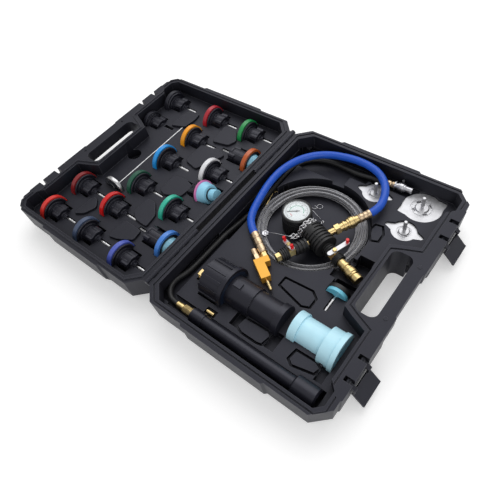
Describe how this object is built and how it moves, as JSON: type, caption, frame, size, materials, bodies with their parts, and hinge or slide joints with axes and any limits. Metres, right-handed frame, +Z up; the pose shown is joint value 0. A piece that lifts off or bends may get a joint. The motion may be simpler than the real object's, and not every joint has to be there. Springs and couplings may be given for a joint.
{
  "type": "coolant vacuum filler",
  "caption": "Cooling-system vacuum filling kit in an open hinged case: gauge and valve unit, hoses, hand pump, filler-neck adapters, radiator caps and a dial thermometer.",
  "frame": {"origin": "centre of the base half's bottom face, which rests on the floor", "axes": "+X from the hinge towards the base half's carrying handle, +Y along the hinge, +Z up out of the open trays"},
  "size_m": [0.8295, 0.533, 0.089],
  "materials": {
    "case": "satin",
    "black_plastic": "satin",
    "black_rubber": "matte",
    "dark_blue_rubber": "matte",
    "red_plastic": "satin",
    "green_plastic": "satin",
    "blue_plastic": "satin",
    "amber_plastic": "satin",
    "white_plastic": "satin",
    "pink_plastic": "satin",
    "pale_blue_plastic": "satin",
    "sky_blue_plastic": "satin",
    "steel": "brushed",
    "bright_steel": "polished",
    "brass": "machined",
    "gold_metal": "anodised",
    "blue_hose": "gloss",
    "clear_plastic": "clear",
    "dial": "satin",
    "red_tip": "gloss",
    "glass": "clear"
  },
  "bodies": {
    "base": {"base_shell": "case", "hinge_pins": "steel", "latch_pins": "steel", "venturi_sleeve": "black_rubber", "valve_boots": "black_rubber", "valve_bodies": "brass", "gauge_boot": "black_rubber", "gauge_case": "dial", "gauge_lens": "glass", "coupler_bodies": "brass", "steel_coupler": "bright_steel", "tee_block": "gold_metal", "tee_fittings": "brass", "tee_plug": "brass", "hose_ferrules": "brass", "blue_hose": "blue_hose", "pump_hose": "black_rubber", "clear_tube": "clear_plastic", "brass_fittings": "brass", "pump_barrel": "black_plastic", "neck_cap": "black_plastic", "neck_seal": "dark_blue_rubber", "neck_tube": "black_plastic", "blue_adapter": "sky_blue_plastic", "small_seal": "black_rubber", "small_disc": "pale_blue_plastic", "small_stem": "steel", "cap_plates": "bright_steel", "cap_nipples": "bright_steel", "brass_hook": "brass", "tube_clamp": "bright_steel", "steel_bit": "steel", "chain": "bright_steel"},
    "lid": {"lid_shell": "case", "adapter_bodies": "black_plastic", "adapter_stems": "steel", "adapter_noses": "pale_blue_plastic", "nose_seals": "black_rubber", "bands_red": "red_plastic", "bands_green": "green_plastic", "bands_blue": "blue_plastic", "bands_amber": "amber_plastic", "band_white": "white_plastic", "band_pink": "pink_plastic", "thermometer_dial": "steel", "thermometer_probe": "steel", "thermometer_tip": "red_tip"},
    "latch_front": {"latch_front": "case"},
    "latch_back": {"latch_back": "case"},
    "lever_right": {"lever_right": "bright_steel", "lever_tip_right": "red_tip"},
    "lever_left": {"lever_left": "bright_steel", "lever_tips_left": "red_tip"},
    "gauge_pointer": {"gauge_pointer": "black_plastic"},
    "collar_hose": {"collar_hose": "brass"},
    "collar_valve": {"collar_valve": "brass"},
    "collar_steel": {"collar_steel": "bright_steel"},
    "plunger": {"pump_handle": "black_plastic", "pump_rod": "steel"}
  },
  "joints": [
    {"name": "lid_hinge", "type": "hinge", "parent": "base", "child": "lid", "pos_m": [-0.2, 0, 0.0722], "axis": [0, 1, 0], "range_deg": [0, 180]},
    {"name": "latch_front_hinge", "type": "hinge", "parent": "base", "child": "latch_front", "pos_m": [0.192, -0.16118, 0.063], "axis": [0, -1, 0], "range_deg": [0, 130]},
    {"name": "latch_back_hinge", "type": "hinge", "parent": "base", "child": "latch_back", "pos_m": [0.192, 0.16118, 0.063], "axis": [0, -1, 0], "range_deg": [0, 130]},
    {"name": "lever_right_turn", "type": "hinge", "parent": "base", "child": "lever_right", "pos_m": [0.04419, 0.01771, 0.045], "axis": [0, 0, -1], "range_deg": [0, 90]},
    {"name": "lever_left_turn", "type": "hinge", "parent": "base", "child": "lever_left", "pos_m": [-0.02948, -0.01894, 0.045], "axis": [0.3104, -0.113, -0.9439], "range_deg": [0, 90]},
    {"name": "gauge_pointer_turn", "type": "hinge", "parent": "base", "child": "gauge_pointer", "pos_m": [-0.06839, 0.05868, 0.0615], "axis": [0, 0, -1], "range_deg": [0, 270]},
    {"name": "collar_hose_slide", "type": "slide", "parent": "base", "child": "collar_hose", "axis": [-0.5017, -0.8558, -0.1257], "range_m": [0, 0.003]},
    {"name": "collar_valve_slide", "type": "slide", "parent": "base", "child": "collar_valve", "axis": [-0.9397, 0.342, 0], "range_m": [0, 0.003]},
    {"name": "collar_steel_slide", "type": "slide", "parent": "base", "child": "collar_steel", "axis": [-0.9962, -0.0872, 0], "range_m": [0, 0.003]},
    {"name": "plunger_slide", "type": "slide", "parent": "base", "child": "plunger", "axis": [1, 0, 0], "range_m": [0, 0.005]}
  ]
}
